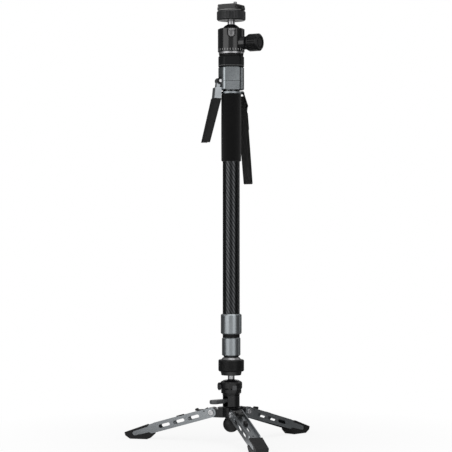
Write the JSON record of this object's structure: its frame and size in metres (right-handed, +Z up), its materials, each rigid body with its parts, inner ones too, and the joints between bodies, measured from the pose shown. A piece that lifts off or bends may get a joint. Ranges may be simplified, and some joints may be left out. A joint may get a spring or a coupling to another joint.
{
  "type": "camera monopod",
  "caption": "Telescoping carbon monopod with a ball head and quick-release plate, a squeeze release lever, a wrist strap and a tilting base with folding legs",
  "frame": {"origin": "on the column's axis at the floor, between the legs", "axes": "Z up along the column, -Y towards the viewer of the picture, X to the viewer's right"},
  "size_m": [0.3617, 0.3624, 0.8345],
  "materials": {
    "black_anodised": "satin black anodised",
    "black_satin": "satin black",
    "grey_anodised": "titanium grey anodised",
    "leg_grey": "grey anodised",
    "bright_aluminium": "bright turned",
    "steel": "turned steel",
    "carbon": "carbon twill in clear resin",
    "black_plastic": "moulded",
    "brake_rubber": "matte",
    "release_metal": "plain extruded",
    "foam": "closed-cell foam",
    "webbing": "flat woven",
    "black_rubber": "moulded rubber"
  },
  "bodies": {
    "base": {"hub": "black_anodised", "hub_foot": "black_rubber", "base_neck": "black_anodised", "base_housing": "black_anodised", "leg_bolts": "bright_aluminium"},
    "pedal": {"pedal": "black_anodised"},
    "base_knob": {"base_knob": "black_anodised"},
    "slider": {"slider_button": "black_anodised"},
    "base_seat": {"base_cup": "black_plastic"},
    "stem": {"base_ball": "black_satin"},
    "lower_section": {"foot_socket": "black_satin", "lower_tube": "carbon", "lower_clutch": "black_plastic", "lower_shoes": "brake_rubber"},
    "base_ring": {"base_ring": "black_anodised"},
    "lower_cam": {"lower_cam": "release_metal"},
    "middle_section": {"middle_tube": "carbon", "lower_bush": "black_plastic", "upper_clutch": "black_plastic", "upper_shoes": "brake_rubber"},
    "lower_collar": {"lower_collar": "grey_anodised"},
    "sleeve": {"control_tube": "release_metal"},
    "upper_section": {"top_tube": "carbon", "upper_bush": "black_plastic", "grip_sleeve": "foam", "strap_collar": "bright_aluminium", "column_head": "grey_anodised", "top_cap": "black_satin", "lever_bracket": "black_anodised", "lever_pin": "steel", "head_stud": "steel", "pan_base": "bright_aluminium"},
    "upper_collar": {"upper_collar": "grey_anodised"},
    "rod": {"control_rod": "release_metal"},
    "lever": {"lever_arm": "bright_aluminium", "lever_cover": "black_plastic"},
    "strap": {"strap_loop": "black_anodised", "wrist_strap": "webbing"},
    "head_housing": {"ball_housing": "black_anodised"},
    "lock_knob": {"lock_knob": "black_anodised", "lock_screw": "steel"},
    "pan_knob": {"pan_knob": "black_anodised"},
    "ball_seat": {"ball_cup": "black_plastic"},
    "ball": {"ball": "bright_aluminium", "ball_stem": "bright_aluminium"},
    "clamp": {"clamp_body": "black_anodised"},
    "clamp_ring": {"clamp_ring": "black_anodised"},
    "jaw": {"clamp_jaw": "black_anodised"},
    "plate": {"camera_plate": "black_anodised", "plate_pads": "black_rubber"},
    "camera_screw": {"camera_screw": "steel"},
    "leg_right": {"leg_right": "leg_grey", "rubber_right": "black_rubber"},
    "tab_right": {"tab_right": "black_plastic"},
    "leg_left": {"leg_left": "leg_grey", "rubber_left": "black_rubber"},
    "tab_left": {"tab_left": "black_plastic"},
    "leg_front": {"leg_front": "leg_grey", "rubber_front": "black_rubber"},
    "tab_front": {"tab_front": "black_plastic"}
  },
  "joints": [
    {"name": "fold_right", "type": "hinge", "parent": "base", "child": "leg_right", "pos_m": [0.02593, 0.02611, 0.0546], "axis": [-0.7096, 0.7046, 0], "range_deg": [-104, 0]},
    {"name": "tab_press_right", "type": "hinge", "parent": "leg_right", "child": "tab_right", "pos_m": [0.0356, 0.03585, 0.05711], "axis": [-0.7096, 0.7046, 0], "range_deg": [0, 10], "stiffness_Nm_per_rad": 0.1},
    {"name": "fold_left", "type": "hinge", "parent": "base", "child": "leg_left", "pos_m": [-0.03558, 0.0094, 0.0546], "axis": [-0.2554, -0.9668, 0], "range_deg": [-104, 0]},
    {"name": "tab_press_left", "type": "hinge", "parent": "leg_left", "child": "tab_left", "pos_m": [-0.04885, 0.01291, 0.05711], "axis": [-0.2554, -0.9668, 0], "range_deg": [0, 10], "stiffness_Nm_per_rad": 0.1},
    {"name": "fold_front", "type": "hinge", "parent": "base", "child": "leg_front", "pos_m": [0.00965, -0.03551, 0.0546], "axis": [0.965, 0.2622, 0], "range_deg": [-104, 0]},
    {"name": "tab_press_front", "type": "hinge", "parent": "leg_front", "child": "tab_front", "pos_m": [0.01325, -0.04876, 0.05711], "axis": [0.965, 0.2622, 0], "range_deg": [0, 10], "stiffness_Nm_per_rad": 0.1},
    {"name": "pedal_press", "type": "hinge", "parent": "base", "child": "pedal", "pos_m": [-0.00723, -0.00691, 0.0785], "axis": [0.6909, -0.723, 0], "range_deg": [0, 12], "stiffness_Nm_per_rad": 0.6},
    {"name": "base_knob_turn", "type": "hinge", "parent": "base", "child": "base_knob", "pos_m": [0, 0, 0.105], "axis": [-0.9659, -0.2588, 0], "range_deg": [0, 180]},
    {"name": "slider_press", "type": "slide", "parent": "base", "child": "slider", "axis": [0, 0, -1], "range_m": [0, 0.004]},
    {"name": "base_direction", "type": "hinge", "parent": "base", "child": "base_seat", "pos_m": [0, 0, 0.1045], "axis": [0, 0, 1], "continuous": true},
    {"name": "base_tilt", "type": "hinge", "parent": "base_seat", "child": "stem", "pos_m": [0, 0, 0.1045], "axis": [1, 0, 0], "range_deg": [0, 20]},
    {"name": "column_pan", "type": "hinge", "parent": "stem", "child": "lower_section", "pos_m": [0, 0, 0.14], "axis": [0, 0, 1], "continuous": true},
    {"name": "base_ring_turn", "type": "hinge", "parent": "lower_section", "child": "base_ring", "pos_m": [0, 0, 0.1445], "axis": [0, 0, 1], "range_deg": [0, 90]},
    {"name": "lower_cam_turn", "type": "hinge", "parent": "lower_section", "child": "lower_cam", "pos_m": [0, 0, 0.6], "axis": [0, 0, 1], "range_deg": [0, 36]},
    {"name": "lower_slide", "type": "slide", "parent": "lower_section", "child": "middle_section", "axis": [0, 0, 1], "range_m": [0, 0.4]},
    {"name": "lower_collar_turn", "type": "hinge", "parent": "middle_section", "child": "lower_collar", "pos_m": [0, 0, 0.18], "axis": [0, 0, 1], "range_deg": [0, 90]},
    {"name": "sleeve_turn", "type": "hinge", "parent": "middle_section", "child": "sleeve", "pos_m": [0, 0, 0.6], "axis": [0, 0, 1], "range_deg": [0, 36]},
    {"name": "upper_slide", "type": "slide", "parent": "middle_section", "child": "upper_section", "axis": [0, 0, 1], "range_m": [0, 0.4]},
    {"name": "upper_collar_turn", "type": "hinge", "parent": "upper_section", "child": "upper_collar", "pos_m": [0, 0, 0.22], "axis": [0, 0, 1], "range_deg": [0, 90]},
    {"name": "rod_turn", "type": "hinge", "parent": "upper_section", "child": "rod", "pos_m": [0, 0, 0.68], "axis": [0, 0, 1], "range_deg": [0, 36]},
    {"name": "lever_squeeze", "type": "hinge", "parent": "upper_section", "child": "lever", "pos_m": [-0.0227, -0.00608, 0.684], "axis": [0.2588, -0.9659, 0], "range_deg": [0, 9], "stiffness_Nm_per_rad": 3, "springref_deg": -2.86},
    {"name": "strap_swing", "type": "hinge", "parent": "upper_section", "child": "strap", "pos_m": [0.01915, 0.01607, 0.662], "axis": [0.6428, -0.766, 0], "range_deg": [0, 90]},
    {"name": "head_pan", "type": "hinge", "parent": "upper_section", "child": "head_housing", "pos_m": [0, 0, 0.742], "axis": [0, 0, 1], "continuous": true},
    {"name": "lock_turn", "type": "hinge", "parent": "head_housing", "child": "lock_knob", "pos_m": [0, 0, 0.755], "axis": [0.866, -0.5, 0], "range_deg": [0, 270]},
    {"name": "pan_knob_turn", "type": "hinge", "parent": "head_housing", "child": "pan_knob", "pos_m": [0, 0, 0.743], "axis": [0, 1, 0], "range_deg": [0, 180]},
    {"name": "head_direction", "type": "hinge", "parent": "head_housing", "child": "ball_seat", "pos_m": [0, 0, 0.773], "axis": [0, 0, 1], "range_deg": [-180, 0]},
    {"name": "head_tilt", "type": "hinge", "parent": "ball_seat", "child": "ball", "pos_m": [0, 0, 0.773], "axis": [1, 0, 0], "range_deg": [-35, 90]},
    {"name": "clamp_spin", "type": "hinge", "parent": "ball", "child": "clamp", "pos_m": [0, 0, 0.805], "axis": [0, 0, 1], "continuous": true},
    {"name": "clamp_ring_turn", "type": "hinge", "parent": "clamp", "child": "clamp_ring", "pos_m": [0, 0, 0.808], "axis": [0, 0, 1], "range_deg": [0, 90]},
    {"name": "jaw_open", "type": "slide", "parent": "clamp", "child": "jaw", "axis": [0.887, -0.4617, 0], "range_m": [0, 0.002]},
    {"name": "plate_slide", "type": "slide", "parent": "clamp", "child": "plate", "axis": [0.4617, 0.887, 0], "range_m": [0, 0.045]},
    {"name": "screw_turn", "type": "hinge", "parent": "plate", "child": "camera_screw", "pos_m": [0.00763, -0.00397, 0.825], "axis": [0, 0, 1], "continuous": true}
  ],
  "couplings": [
    {"joint": "rod_turn", "follows": "lever_squeeze", "ratio": 4},
    {"joint": "sleeve_turn", "follows": "lever_squeeze", "ratio": 4},
    {"joint": "lower_cam_turn", "follows": "lever_squeeze", "ratio": 4},
    {"joint": "jaw_open", "follows": "clamp_ring_turn", "m_per_rad": 0.0012731}
  ]
}
